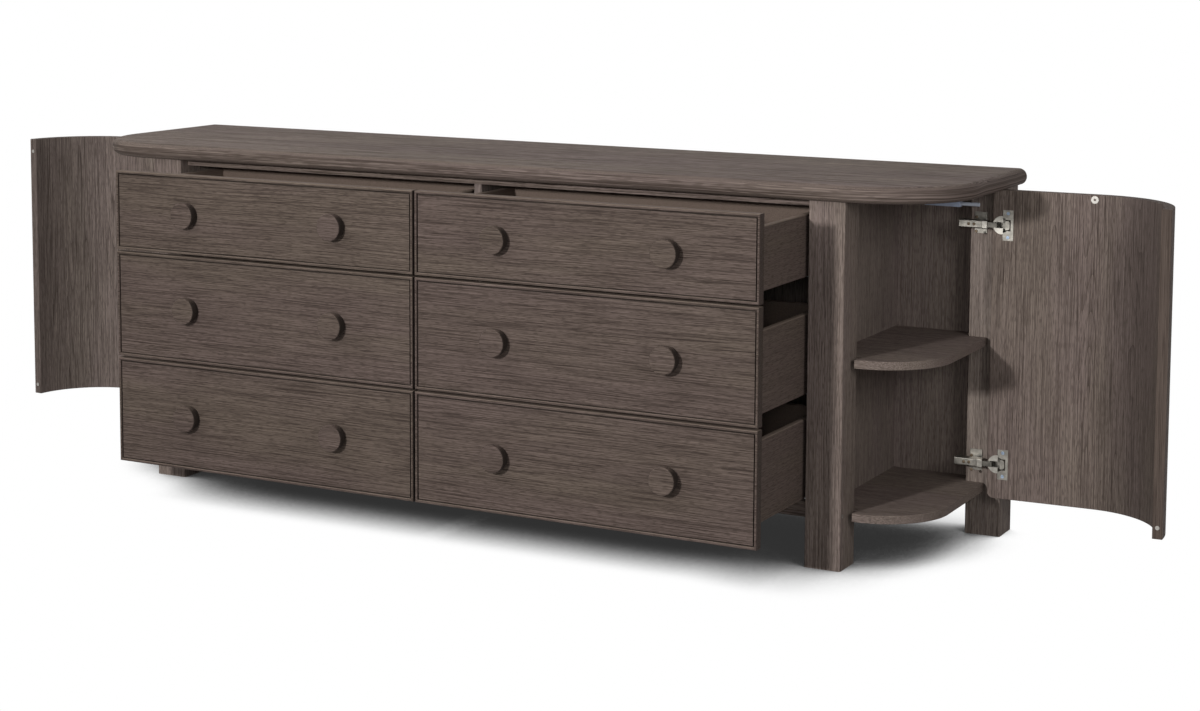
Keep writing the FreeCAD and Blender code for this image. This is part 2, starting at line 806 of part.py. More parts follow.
# Hinge neck: a bent link from the arm, round the door's edge, to an eye on the pin.
def make_neck(name, side, height):
    body = new_body(name)
    half, bend = d.neck_half, d.neck_bend
    near, far = -d.neck_reach, -d.neck_reach - d.neck_thick
    outer_bend = bend + d.neck_thick
    tail = -d.neck_length
    steps = [
        (tail, near),
        (tail, far),
        (half - outer_bend, far),
        (half, far + outer_bend, half - outer_bend, far + outer_bend),
        (half, 0),
        (-half, 0),
        (-half, near + bend),
        (-half - bend, near, -half - bend, near + bend),
    ]
    link = new_sketch(body, "XY_Plane")
    outline(link, [mirrored(side, step) for step in steps])
    pad(body, link, d.neck_height, middle=True)
    eye = new_sketch(body, "XY_Plane")
    ring(eye, 0, 0, d.eye_radius)
    pad(body, eye, d.neck_height, middle=True)
    bore = new_sketch(body, "XY_Plane")
    ring(bore, 0, 0, d.pin_radius + d.pin_play)
    pocket(body, bore, 2 * d.neck_height, middle=True)
    return place(body, side * pin_x, pin_y, height)


# Hinge arm: a folded channel, open towards the post, that holds the tail of the neck.
def make_arm(name, side, height):
    body = new_body(name)
    face = pin_y - d.neck_reach - d.neck_thick - d.arm_sheet
    open_edge = face + d.arm_depth
    half, wall = d.arm_height / 2, d.arm_sheet
    soft = d.arm_sheet
    outline(new_sketch(body, "YZ_Plane"), [
        (face, half - soft, face + soft, half - soft),
        (face, soft - half),
        (face + soft, -half, face + soft, soft - half),
        (open_edge, -half),
        (open_edge, wall - half),
        (face + wall, wall - half),
        (face + wall, half - wall),
        (open_edge, half - wall),
        (open_edge, half),
        (face + soft, half),
    ])
    pad(body, body.Group[-1], d.arm_length)
    low_x = pin_x - d.arm_end - d.arm_length
    return place(body, span(side, low_x, low_x + d.arm_length)[0], 0, height)


def make_hinges():
    plates, arms, necks, screws = [], [], [], []
    arm_face = pin_y - d.neck_reach - d.neck_thick - d.arm_sheet
    for side, hand in SIDES:
        for number, height in enumerate(hinge_levels, start=1):
            name = f"{hand}_{number}"
            middle_x = pin_x - d.plate_centre
            plates += make_plate(f"hinge_plate_{name}", side, middle_x, height)
            arms.append(make_arm(f"hinge_arm_{name}", side, height))
            necks.append(make_neck(f"hinge_neck_{name}", side, height))
            wing = rear_front - d.plate_thick
            block_x = middle_x - d.block_length / 2
            spots = [(middle_x, wing, height + d.screw_rise), (middle_x, wing, height - d.screw_rise),
                     (block_x - d.screw_pitch / 2, arm_face, height),
                     (block_x + d.screw_pitch / 2, arm_face, height)]
            screws += [rod(f"hinge_screw_{name}_{i}", d.screw_radius, d.screw_head, side * x, y, z,
                           axis=(1, 0, 0), angle=90) for i, (x, y, z) in enumerate(spots, start=1)]
    keep("hinge_plates", group("hinge_plates", plates))
    keep("hinge_arms", group("hinge_arms", arms))
    keep("hinge_necks", group("hinge_necks", necks))
    keep("hinge_screws", group("hinge_screws", screws))


# Mounting plate: two wings screwed to the rear post and a block that carries the arm.
def make_plate(name, side, middle_x, height):
    arm_inside = pin_y - d.neck_reach - d.neck_thick
    half = d.plate_width / 2
    wings = board(f"{name}_wings", span(side, middle_x - half, middle_x + half),
                  (rear_front - d.plate_thick, rear_front),
                  (height - d.plate_height / 2, height + d.plate_height / 2))
    grip = d.arm_height / 2 - d.arm_sheet - d.block_play
    block = board(f"{name}_block", span(side, middle_x - d.block_length, middle_x),
                  (arm_inside, rear_front - d.plate_thick), (height - grip, height + grip))
    plate = doc.addObject("Part::Fuse", name)
    plate.Base = wings
    plate.Tool = block
    return [plate]


# Push latch under the top: a housing on a plate, and a plunger that meets the strike on the door.
strike_y = FRONT + d.door_radius + d.strike_to_bend
strike_z = door_high - d.strike_drop
strike_face = END - d.door_thick - d.strike_thick


def make_latches():
    housings = []
    mouth = strike_face - d.latch_gap
    for side, hand in SIDES:
        name = f"latch_{hand}"
        tail = mouth - d.latch_length
        half, plate_half = d.latch_width / 2, d.latch_plate_width / 2
        plate_low = post_height - d.latch_plate_thick
        case = board(f"{name}_case", span(side, tail, mouth), (strike_y - half, strike_y + half),
                     (strike_z - d.latch_low, plate_low))
        plate_x = span(side, mouth - d.latch_plate_length, mouth)
        plate = board(f"{name}_plate", plate_x, (strike_y - plate_half, strike_y + plate_half),
                      (plate_low, post_height))
        joined = doc.addObject("Part::Fuse", f"{name}_joined")
        joined.Base = case
        joined.Tool = plate
        bore_length = d.latch_length - d.latch_gap
        bore = rod(f"{name}_bore", d.plunger_radius + d.plunger_play, bore_length + d.cut_margin,
                   side * (mouth - bore_length), strike_y, strike_z, axis=(0, side, 0), angle=90)
        housings.append(cut(name, joined, bore))
        tip = strike_face + d.plunger_reach
        plunger = rod(f"latch_plunger_{hand}", d.plunger_radius, d.plunger_length,
                      side * (tip - d.plunger_length), strike_y, strike_z, axis=(0, side, 0), angle=90)
        keep(f"latch_plunger_{hand}", plunger)
    keep("latch_housings", group("latch_housings", housings))


# Strike plate and magnets on the doors, and the catch discs that they meet on the front posts.
def make_catches():
    catches = []
    magnet_y = FRONT + d.door_thick / 2
    lower, upper = door_low + d.magnet_inset_low, door_high - d.magnet_inset_top
    for side, hand in SIDES:
        levels = (lower,) if side > 0 else (lower, upper)
        strike = rod(f"strike_{hand}_disc", d.strike_radius, d.strike_thick,
                     side * inner_face, strike_y - pin_y, strike_z, axis=(0, -side, 0), angle=90)
        hole = rod(f"strike_{hand}_hole", d.strike_hole, d.strike_thick + 2 * d.cut_margin,
                   side * (inner_face + d.cut_margin), strike_y - pin_y, strike_z,
                   axis=(0, -side, 0), angle=90)
        keep(f"strike_plate_{hand}", hang(cut(f"strike_plate_{hand}", strike, hole), side))
        free_end = post_outer + d.door_end_gap - pin_x
        magnets = [rod(f"magnet_{hand}_{i}", d.magnet_radius, d.magnet_thick, side * free_end,
                       magnet_y - pin_y, height, axis=(0, -side, 0), angle=90)
                   for i, height in enumerate(levels, start=1)]
        keep(f"door_magnets_{hand}", hang(group(f"door_magnets_{hand}", magnets), side))
        catches += [rod(f"catch_{hand}_{i}", d.magnet_radius, d.catch_thick, side * post_outer,
                        magnet_y, height, axis=(0, side, 0), angle=90)
                    for i, height in enumerate(levels, start=1)]
    keep("post_catches", group("post_catches", catches))


def make_doors():
    for side, hand in SIDES:
        make_door(f"door_{hand}", side)
        make_cups(f"hinge_cups_{hand}", side)
        make_pins(f"hinge_pins_{hand}", side)


make_top()
make_posts()
make_carcase()
make_partition()
make_cabinets()
make_drawers()
make_doors()
make_hinges()
make_latches()
make_catches()
doc.recompute()

for thing in doc.Objects:
    if "Invalid" in thing.State or "Error" in thing.State:
        raise RuntimeError(f"{thing.Name} failed: {thing.State}")
os.makedirs("parts", exist_ok=True)
for label, thing in nodes.items():
    if thing.Shape.isNull() or not thing.Shape.isValid():
        raise RuntimeError(f"{label} has no valid shape")
for label, thing in nodes.items():
    thing.Shape.exportStep(f"parts/{label}.step")
print(f"{len(nodes)} sub-parts written")
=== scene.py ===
# %% [markdown]
# # A low dresser with two curved end cabinets
# The dresser is already built as solid parts: a long carcase, six drawers standing open,
# and a curved door swung wide at each end. This lesson gives those parts their looks.
# We begin by loading them. They stay where they are, and everything else is fitted to them.

# %% Load the dresser
import json
import math

import bmesh
import bpy
from mathutils import Matrix, Vector


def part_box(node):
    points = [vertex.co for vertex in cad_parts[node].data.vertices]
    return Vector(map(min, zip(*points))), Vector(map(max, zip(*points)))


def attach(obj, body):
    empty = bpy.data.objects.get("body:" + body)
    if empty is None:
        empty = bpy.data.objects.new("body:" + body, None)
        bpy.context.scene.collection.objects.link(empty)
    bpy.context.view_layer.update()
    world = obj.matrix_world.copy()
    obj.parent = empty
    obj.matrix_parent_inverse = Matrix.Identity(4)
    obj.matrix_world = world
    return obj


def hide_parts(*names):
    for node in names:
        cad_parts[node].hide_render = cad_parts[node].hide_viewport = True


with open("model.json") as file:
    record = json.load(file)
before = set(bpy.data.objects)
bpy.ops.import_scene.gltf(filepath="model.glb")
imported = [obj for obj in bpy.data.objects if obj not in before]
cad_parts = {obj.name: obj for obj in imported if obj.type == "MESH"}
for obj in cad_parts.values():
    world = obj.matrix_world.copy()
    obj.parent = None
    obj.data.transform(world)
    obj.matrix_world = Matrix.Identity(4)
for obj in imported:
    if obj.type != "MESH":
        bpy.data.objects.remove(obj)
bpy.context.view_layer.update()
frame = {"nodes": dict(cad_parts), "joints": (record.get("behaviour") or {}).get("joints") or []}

nodes = frame["nodes"]

# %% [markdown]
# ## The camera
# The product picture was taken from the right front, a little above the top, with a long lens.
# A camera can be pushed about by hand until edges meet, but here its place was worked out from
# corners that are easy to name, such as the drawer fronts, knobs and feet, so that the picture's
# perspective is the same. A small downward lens shift keeps the upright edges nearly parallel.

# %% Set up the camera
PICTURE = (1200, 711)
FOCAL_PIXELS = 2275.1
OPTICAL_CENTRE_Y = 160.0
SENSOR = 36.0
CAMERA_PLACE = (2.5960, -4.5501, 1.3175)
TURN, TILT, ROLL = (math.radians(degrees) for degrees in (27.876, 5.746, 0.277))

camera_data = bpy.data.cameras.new("camera")
camera_data.sensor_width = SENSOR
camera_data.lens = FOCAL_PIXELS / PICTURE[0] * SENSOR
camera_data.shift_y = (OPTICAL_CENTRE_Y - PICTURE[1] / 2) / PICTURE[0]
camera = bpy.data.objects.new("camera", camera_data)
bpy.context.scene.collection.objects.link(camera)
camera.matrix_world = (
    Matrix.Translation(CAMERA_PLACE)
    @ Matrix.Rotation(TURN, 4, "Z")
    @ Matrix.Rotation(math.pi / 2 - TILT, 4, "X")
    @ Matrix.Rotation(ROLL, 4, "Z")
)
bpy.context.scene.camera = camera
bpy.context.scene.view_settings.view_transform = "Standard"
print("lens:", round(camera_data.lens, 2), "mm, shift:", round(camera_data.shift_y, 4))

# %% [markdown]
# ## Writing shader maths as plain arithmetic
# A finish is a web of nodes, and a web of Math nodes is hard to read. `Wire` wraps one socket, so
# that `1 - pores * 0.4` adds the nodes for us. `Finish` holds one material's tree: its `add` makes
# any other node from its type, its settings and what goes into its sockets.

# %% The shader helpers
class Wire:
    """One socket of a finish; arithmetic on it adds Math nodes."""

    def __init__(self, finish, socket):
        self.finish = finish
        self.socket = socket

    def math(self, operation, *others):
        return self.finish.add("Math", {"operation": operation}, dict(enumerate((self, *others))))

    def __add__(self, other):
        return self.math("ADD", other)

    def __mul__(self, other):
        return self.math("MULTIPLY", other)

    def __sub__(self, other):
        return self.math("SUBTRACT", other)

    def __rsub__(self, other):
        return self.finish.add("Math", {"operation": "SUBTRACT"}, {0: other, 1: self})

    def __pow__(self, other):
        return self.math("POWER", other)

    __radd__ = __add__
    __rmul__ = __mul__

    def between(self, low, high):
        """0 at low, 1 at high, with a soft step in between."""
        return self.finish.add(
            "MapRange",
            {"interpolation_type": "SMOOTHSTEP"},
            {"Value": self, "From Min": low, "From Max": high},
        )


class Finish:
    """One material's node tree."""

    def __init__(self, name, tree=None):
        if tree is None:
            self.material = bpy.data.materials.new(name)
            self.material.use_nodes = True
            tree = self.material.node_tree
        self.tree = tree
        self.tree.nodes.clear()

    def add(self, kind, settings=None, inputs=None, output=0):
        node = self.tree.nodes.new("ShaderNode" + kind)
        for name, value in (settings or {}).items():
            setattr(node, name, value)
        for key, value in (inputs or {}).items():
            if isinstance(value, Wire):
                self.tree.links.new(value.socket, node.inputs[key])
            else:
                node.inputs[key].default_value = value
        return Wire(self, node.outputs[output]) if node.outputs else node

    def vector(self, operation, *values, output="Vector"):
        return self.add("VectorMath", {"operation": operation}, dict(enumerate(values)), output)

    def along(self, where, axis):
        """One coordinate of a place."""
        return self.add("SeparateXYZ", None, {0: where}, axis)

    def blend(self, share, first, second):
        """A colour between two others."""
        return self.add("Mix", {"data_type": "RGBA"}, {0: share, 6: first, 7: second}, 2)

    def noise(self, where, detail=2.0, roughness=0.5):
        sockets = {"Vector": where, "Scale": 1.0, "Detail": detail, "Roughness": roughness}
        return self.add("TexNoise", None, sockets)

    def scaled_noise(self, scale, detail=2.0):
        """A noise whose grains are 1 / scale metres in each direction."""
        where = self.add("TexCoord", output="Object")
        return self.noise(self.add("Mapping", None, {"Vector": where, "Scale": scale}), detail)


def paint(red, green, blue):
    """A colour written as 0 to 255 values, in the linear light that shaders use."""
    channels = [c / 255 for c in (red, green, blue)]
    return (*[c / 12.92 if c <= 0.04045 else ((c + 0.055) / 1.055) ** 2.4 for c in channels], 1.0)


def dimmed(colour, share):
    return [c * share for c in colour[:3]] + [1.0]


def grey(level):
    return (level, level, level, 1.0)


X, Y, Z = 0, 1, 2
WHITE = paint(255, 255, 255)
print("white is", WHITE[0])

# %% [markdown]
# ## The studio
# The picture is cut out on white. One small lamp at the front left draws the crisp shadows of the
# knobs and of the open drawers. A panel at the right lights the open cabinet, a weak one beside the
# camera softens the front, and a wide one overhead lights the top. The pale room fills the rest.
# White is what the camera sees of the room; the light that reaches the wood stays at a plain level.

# %% Room light
ROOM_LIGHT = 0.16

world = bpy.data.worlds.new("room")
world.use_nodes = True
bpy.context.scene.world = world
room = Finish("room", world.node_tree)


def seen_directly(finish):
    """1 for rays that show a surface to the camera, straight or through gloss and glass."""
    names = ("Is Camera Ray", "Is Glossy Ray", "Is Transmission Ray")
    straight, glossy, through = (finish.add("LightPath", output=name) for name in names)
    return straight.math("MAXIMUM", glossy).math("MAXIMUM", through)


room_strength = ROOM_LIGHT + (1.0 - ROOM_LIGHT) * seen_directly(room)
background = room.add("Background", None, {"Color": WHITE, "Strength": room_strength})
room.add("OutputWorld", None, {"Surface": background})
print("room light:", ROOM_LIGHT)


# %% Lamps
def lamp(name, place, target, width, height, watts):
    """A panel of light at a place, turned to a target."""
    data = bpy.data.lights.new(name, "AREA")
    data.shape = "RECTANGLE"
    data.size = width
    data.size_y = height
    data.energy = watts
    made = bpy.data.objects.new(name, data)
    bpy.context.scene.collection.objects.link(made)
    way = Vector(target) - Vector(place)
    aim = way.to_track_quat("-Z", "Y").to_matrix().to_4x4()
    made.matrix_world = Matrix.Translation(place) @ aim
    return made


# Place and target, then width and height, all in metres, and watts
dresser_lamps = [
    lamp("front_left_lamp", (-0.15, -4.0, 1.5), (1.0, 0.0, 0.5), 0.24, 0.24, 104.0),
    lamp("cabinet_panel", (2.7, -1.3, 1.3), (0.95, 0.0, 0.45), 0.6, 0.8, 13.0),
    lamp("camera_side_fill", (2.75, -4.85, 1.5), (0.6, 0.0, 0.4), 0.7, 0.7, 20.0),
]
overhead = lamp("overhead_panel", (-1.2, -1.4, 2.8), (0.2, 0.0, 0.2), 3.0, 2.0, 31.0)
print("lamps:", [made.name for made in (*dresser_lamps, overhead)])

# %% [markdown]
# The floor is a plain sheet. For light that bounces it is a pale grey board. The soft shadow could
# be left to the lamps, but on a cut-out picture it is darkest close under the dresser and fades
# evenly all round. So what the camera sees of the floor goes by how open a spot is: white where
# nothing stands near, dark where the dresser is close above it. The pulled drawers and the open
# doors shade the pictured floor less than the carcase does, so the spots below them are lifted.

# %% Floor
FLOOR_SIZE = 14.0
FLOOR_BOUNCE = 0.8
SHADOW_REACH = 0.45
SHADOW_DARK = 0.03
SHUT_IN, OPEN = 0.16, 0.76
OPENNESS_RAYS = 16
DRAWER_LIFT = 0.34
DRAWERS_END_X = (0.60, 0.88)
DRAWERS_END_Y = (-0.46, -0.16)
DOOR_LIFT = 0.30
DOORS_START_X = (0.95, 1.25)

floor_mesh = bpy.data.meshes.new("floor")
sheet = bmesh.new()
bmesh.ops.create_grid(sheet, x_segments=1, y_segments=1, size=FLOOR_SIZE / 2)
sheet.to_mesh(floor_mesh)
sheet.free()
floor = bpy.data.objects.new("floor", floor_mesh)
bpy.context.scene.collection.objects.link(floor)

pale = Finish("floor_white")
spot = pale.add("TexCoord", output="Object")
spot_x = pale.along(spot, X)
spot_y = pale.along(spot, Y)
rays = {"samples": OPENNESS_RAYS}
openness = pale.add("AmbientOcclusion", rays, {"Distance": SHADOW_REACH}, "AO")
under_drawers = (1 - spot_x.between(*DRAWERS_END_X)) * (1 - spot_y.between(*DRAWERS_END_Y))
under_doors = spot_x.math("ABSOLUTE").between(*DOORS_START_X)
openness = openness + under_drawers * DRAWER_LIFT + under_doors * DOOR_LIFT
bouncing = pale.add("BsdfDiffuse", None, {"Color": grey(FLOOR_BOUNCE)})
shade = pale.add("Emission", None, {"Color": grey(SHADOW_DARK)})
white = pale.add("Emission", None, {"Color": WHITE})
shown = pale.add("MixShader", None, {0: openness.between(SHUT_IN, OPEN), 1: shade, 2: white})
surface = pale.add("MixShader", None, {0: seen_directly(pale), 1: bouncing, 2: shown})
pale.add("OutputMaterial", None, {"Surface": surface})
floor_mesh.materials.append(pale.material)
print("floor:", FLOOR_SIZE, "m square")

# %% [markdown]
# Only the overhead panel and the room light the floor. The other three lamps leave it out, or the
# light that it throws back up would wash out the shadows on the wood.

# %% Keep three lamps off the floor
unlit = bpy.data.collections.new("left_out_of_lamps")
unlit.objects.link(floor)
for made in dresser_lamps:
    made.light_linking.receiver_collection = unlit
unlit.collection_objects[0].light_linking.link_state = "EXCLUDE"
print("lamps that leave the floor out:", len(dresser_lamps))

# %% [markdown]
# ## Stained oak
# The boards are oak, stained a grey brown and finished matt. Close up, oak has dark open pores in
# short strokes, bunched along the growth rings, with fine pale fibre between, and the stain takes
# unevenly, so a board drifts between an olive and a plum brown. A photograph of oak could be wrapped
# on, but noises drawn out along the grain fit any board. Each board reads its own stretch of them,
# as boards cut from different trunks do. First come the tools that say where on a board a spot is.

# %% Places on a board
AXES = ((1, 0, 0), (0, 1, 0), (0, 0, 1))
SEED_STEPS = ((3.17, 17), (5.71, 19), (7.39, 23))


def board_space(finish, where, grain, along, across, seed):
    """A board's own coordinates: a unit is `along` metres with the grain, `across` metres over it."""
    scale = [1 / across] * 3
    scale[grain] = 1 / along
    shift = [seed * step % span for step, span in SEED_STEPS]
    return finish.add("Mapping", None, {"Vector": where, "Location": shift, "Scale": scale})


def faces(finish, axis):
    """How far a surface is turned towards an axis, from -1 to 1."""
    normal = finish.add("NewGeometry", output="Normal")
    return finish.vector("DOT_PRODUCT", normal, AXES[axis], output="Value")


def within(finish, where, low, high):
    """1 inside the box between two corners, 0 outside."""
    middle = (low + high) / 2
    half = (high - low) / 2
    off = finish.vector("ABSOLUTE", finish.vector("SUBTRACT", where, middle))
    x, y, z = (finish.along(off, axis).math("LESS_THAN", half[axis]) for axis in (X, Y, Z))
    return x * y * z


print("board 1 starts at", [round(step % span, 2) for step, span in SEED_STEPS])

# %% [markdown]
# Next the patterns of the grain. Growth rings are a slow noise cut into steps, the dark lines are
# the ridges of a finer one, and the rest are noises with a soft threshold. All of them wander a
# little, because no trunk is straight. On the top, the grain of the face runs on round its nose.

# %% Oak patterns
SWAY = (0.012, 0.012, 0.012)
WAVE = (0.9, 0.14)
NOISE_MIDDLE = 0.5
ROUGHNESS = 0.55
RINGS = 16
RING_EDGE = 5.0
LINE_WIDTH = 0.10
NOSE_TURN = (0.6, 0.95)

# Length along the grain and width across it in metres, and detail
GROWTH = (0.9, 0.040, 0.0)
LINES = (0.30, 0.0027, 1.0)

# The same, and then the two noise levels between which the pattern sets in
PATTERNS = {
    "bands": (0.9, 0.11, 0.0, 0.46, 0.58),
    "streak": (0.24, 0.0017, 1.0, 0.30, 0.70),
    "fibre": (0.05, 0.0012, 0.0, 0.30, 0.70),
    "strokes": (0.040, 0.0016, 1.0, 0.64, 0.72),
    "pores": (0.016, 0.0014, 0.0, 0.50, 0.70),
    "drift": (0.7, 0.12, 2.0, 0.34, 0.66),
}


def swayed(wood, plain, grain, seed):
    """Places that wander a little, so that no line of the grain is straight."""
    wave = board_space(wood, plain, grain, *WAVE, seed)
    push = wood.add("TexNoise", None, {"Vector": wave, "Scale": 1.0, "Detail": 1.0}, "Color")
    push = wood.vector("SUBTRACT", push, (NOISE_MIDDLE, NOISE_MIDDLE, NOISE_MIDDLE))
    return wood.vector("MULTIPLY_ADD", push, SWAY, plain)


def run_round(wood, where, up):
    """Places on a board whose grain runs on round its nose."""
    x, y, z = (wood.along(where, axis) for axis in (X, Y, Z))
    flat = up.math("ABSOLUTE").between(*NOSE_TURN)
    return wood.add("CombineXYZ", None, {X: x, Y: y * flat, Z: z})


def figure(wood, where, grain, seed, coarse):
    """The patterns of one board by name, each from 0 to 1."""

    def drawn(along, across, detail):
        stretch = board_space(wood, where, grain, along * coarse, across * coarse, seed)
        return wood.noise(stretch, detail, ROUGHNESS)

    made = {name: drawn(*row[:3]).between(*row[3:]) for name, row in PATTERNS.items()}
    growth = (drawn(*GROWTH) * RINGS).math("FRACT")
    made["early"] = (1 - growth) ** RING_EDGE * made["bands"]
    made["lines"] = 1 - (drawn(*LINES) - NOISE_MIDDLE).math("ABSOLUTE").between(0.0, LINE_WIDTH)
    return made


print("oak patterns:", ["early", "lines", *PATTERNS])

# %% [markdown]
# Last the stain itself. The patterns add up to how dark a spot is, and that picks a colour. End
# grain drinks more stain. Faces turned up and upper edges get a painted highlight, the nose of the
# top gets painted shade in streaks where it turns down, and a door's bend gets painted shade. A patch
# is a part of a board with another tone, such as the inside of a drawer box, made lighter as painted
# light. The darks also sink a little, which gives the brushed surface.

# %% The oak finish
OLIVE_BROWN = (112, 99, 89)
PLUM_BROWN = (112, 97, 91)
GRAIN_BROWN = (56, 46, 41)
PORE_BROWN = (58, 49, 43)
END_BROWN = (40, 33, 29)
HIGHLIGHT_BROWN = (158, 141, 127)
NOSE_SHADE_BROWN = (56, 46, 40)
BEND_SHADE_BROWN = (34, 28, 25)
PATCH_BROWN = (112, 98, 89)
PATCH_GRAIN = (60, 50, 44)

LINES_DARKEN = 0.50
STREAKS_DARKEN = 0.35
FIBRE_DARKENS = 0.20
STROKES_DARKEN = 0.40
PLAIN_DARK = 0.50
PORES_SHOW = 0.5
FADE = 0.25
END_TURN = (0.35, 0.85)
HIGHLIGHT_TURN = (0.2, 0.7)
NOSE_SHADE_TURN = (0.3, 0.9)
NOSE_SHADE, NOSE_STREAKS = 0.75, 0.5
BRUSHING = {"Strength": 0.35, "Distance": 0.0006}
GRAIN_SINKS, PORES_SINK = 0.7, 0.6
MATT = 0.70
GRAIN_DULLS, PORES_DULL = 0.12, 0.1
SHINE = 0.16


def toned(colour, tone, fade=0.0):
    """A stain colour in linear light, made lighter by its tone and greyer by its fade."""
    linear = paint(*colour)[:3]
    middle = sum(linear) / 3
    return [(c + (middle - c) * fade) * tone for c in linear] + [1.0]


def oak(
    name, grain, seed, tone, contrast,
    rings=0.15, ends=0.0, highlight=0.0, coarse=1.0, wrap=False, patch=None, bend=None,
):
    """The finish of one board."""
    wood = Finish(name)
    plain = wood.add("TexCoord", output="Object")
    up = faces(wood, Z)
    where = swayed(wood, plain, grain, seed)
    if wrap:
        where = run_round(wood, where, up)
    shows = figure(wood, where, grain, seed, coarse)

    def stain(colour):
        return toned(colour, tone, max(0.0, tone - 1.0) * FADE)

    dark = shows["early"] * rings + shows["lines"] * LINES_DARKEN
    dark = dark + (1 - shows["streak"]) * STREAKS_DARKEN + (1 - shows["fibre"]) * FIBRE_DARKENS
    dark = dark + shows["strokes"] * STROKES_DARKEN
    dark = (dark - PLAIN_DARK) * contrast + PLAIN_DARK

    colour = wood.blend(shows["drift"], stain(OLIVE_BROWN), stain(PLUM_BROWN))
    colour = wood.blend(dark, colour, stain(GRAIN_BROWN))
    colour = wood.blend(shows["pores"] * PORES_SHOW, colour, stain(PORE_BROWN))
    end_grain = faces(wood, grain).math("ABSOLUTE").between(*END_TURN)
    colour = wood.blend(end_grain * ends, colour, stain(END_BROWN))
    # Painted highlight: faces turned up, and the upper edges, are made paler.
    colour = wood.blend(up.between(*HIGHLIGHT_TURN) * highlight, colour, stain(HIGHLIGHT_BROWN))
    if wrap:
        # Painted shade: the nose of the top is darker in streaks where it turns down.
        streaks = NOSE_SHADE - shows["streak"] * NOSE_STREAKS
        nose = (1 - up.between(*NOSE_SHADE_TURN)) * streaks
        colour = wood.blend(nose, colour, stain(NOSE_SHADE_BROWN))
    if patch:
        # A patch holds painted shade in a front's quirk and painted light inside a drawer box.
        low, high, level = patch
        other = wood.blend(dark, toned(PATCH_BROWN, level), toned(PATCH_GRAIN, level))
        colour = wood.blend(within(wood, plain, low, high), colour, other)
    if bend:
        # Painted shade on a door's bend, darker towards its end.
        start, end, share = bend
        reach = wood.along(plain, X).math("ABSOLUTE")
        colour = wood.blend(reach.between(start, end) * share, colour, stain(BEND_SHADE_BROWN))

    height = 0.0 - dark * GRAIN_SINKS - shows["pores"] * PORES_SINK
    relief = wood.add("Bump", None, {**BRUSHING, "Height": height})
    gloss = MATT + dark * GRAIN_DULLS + shows["pores"] * PORES_DULL
    skin = wood.add(
        "BsdfPrincipled",
        None,
        {"Base Color": colour, "Roughness": gloss, "Normal": relief, "Specular IOR Level": SHINE},
    )
    wood.add("OutputMaterial", None, {"Surface": skin})
    return wood.material


print("plain oak in linear light:", [round(c, 3) for c in toned(OLIVE_BROWN, 1.0)[:3]])

# %% [markdown]
# The grain follows the way each board is cut. It runs along the fronts, knobs, top, rails and
# shelves, and upright in the posts, doors and partitions. Each kind of board has its own tone and
# contrast, and the tones also hold painted light. Three kinds have a patch: a drawer box is made
# lighter inside as painted light, the quirk round a drawer front is darkened as painted shade, and
# the end of the right door is pale.

# %% Finish the boards
HANDS = ("left", "right")
ROWS = ("top", "middle", "bottom")


def dress(node, material):
    for held in nodes[node].material_slots:
        held.material = material


def sides(*boards):
    return [f"{board}_{hand}" for board in boards for hand in HANDS]


def drawers(*pieces):
    return [f"drawer_{piece}_{row}_{hand}" for piece in pieces for row in ROWS for hand in HANDS]


# Grain, tone, contrast, the boards, and what is special about them. The tones are partly the stain
# and partly painted light: boards that the lamps reach less, such as the top, posts, doors and the
# cabinets' inner boards, are made lighter, and the fronts darker. A bend is the reach from the
# middle of the dresser where its painted shade sets in, the reach where it is full, and its share.
BOARDS = [
    (X, 1.66, 1.3, ["top"], {"ends": 0.1, "wrap": True, "coarse": 1.8}),
    (X, 0.87, 1.0, drawers("front"), {"ends": 0.5, "highlight": 0.32}),
    # The knobs' strong end-grain darkening is partly stain and partly painted shade on their sides.
    (X, 0.87, 1.0, drawers("knobs"), {"ends": 0.9}),
    (X, 1.50, 1.0, ["top_rail", "bottom_rail", "drawer_bay_floor"], {"ends": 0.3}),
    (X, 1.80, 0.7, sides("cabinet_floor", "shelf"), {}),
    (Y, 0.94, 0.35, drawers("box"), {"highlight": 0.45}),
    (Z, 1.84, 0.8, ["centre_foot", *sides("post_front")], {"ends": 0.3}),
    (Z, 2.12, 0.8, sides("post_rear"), {"ends": 0.3}),
    (Z, 1.98, 0.9, ["door_left"], {"rings": 0.45, "bend": (1.28, 1.48, 0.35)}),
    (Z, 1.68, 0.8, ["door_right"], {"rings": 0.45, "bend": (1.27, 1.42, 0.55)}),
    (Z, 2.10, 0.6, ["back_panel", "centre_partition", *sides("divider")], {"rings": 0.3}),
]
BOX_WALL = 0.010
# The inside of a drawer box is made lighter: painted light in its hollow.
BOX_INSIDE_LIGHT_TONE = 1.45
BEAD = 0.004
QUIRK_START, QUIRK_END = 0.0026, 0.0065
# The quirk round a drawer front is darkened: painted shade in the groove.
QUIRK_SHADE_TONE = 0.3
DOOR_END = 0.004
DOOR_END_TONE = 1.5


def patch_of(board):
    """The corners of the part of a board that has another tone, and that tone."""
    low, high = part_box(board)
    if board in drawers("box"):
        inside = high - Vector((BOX_WALL, BOX_WALL, 0))
        return low + Vector((BOX_WALL, 0, 0)), inside, BOX_INSIDE_LIGHT_TONE
    if board in drawers("front"):
        deep = Vector((high.x - BEAD, low.y + QUIRK_END, high.z - BEAD))
        return low + Vector((BEAD, QUIRK_START, BEAD)), deep, QUIRK_SHADE_TONE
    if board == "door_right":
        return low, Vector((high.x, low.y + DOOR_END, high.z)), DOOR_END_TONE
    return None


dressed = 0
for grain, tone, contrast, boards, more in BOARDS:
    for board in boards:
        dressed += 1
        patch = patch_of(board)
        dress(board, oak("oak_" + board, grain, dressed, tone, contrast, patch=patch, **more))
print("oak boards:", dressed)

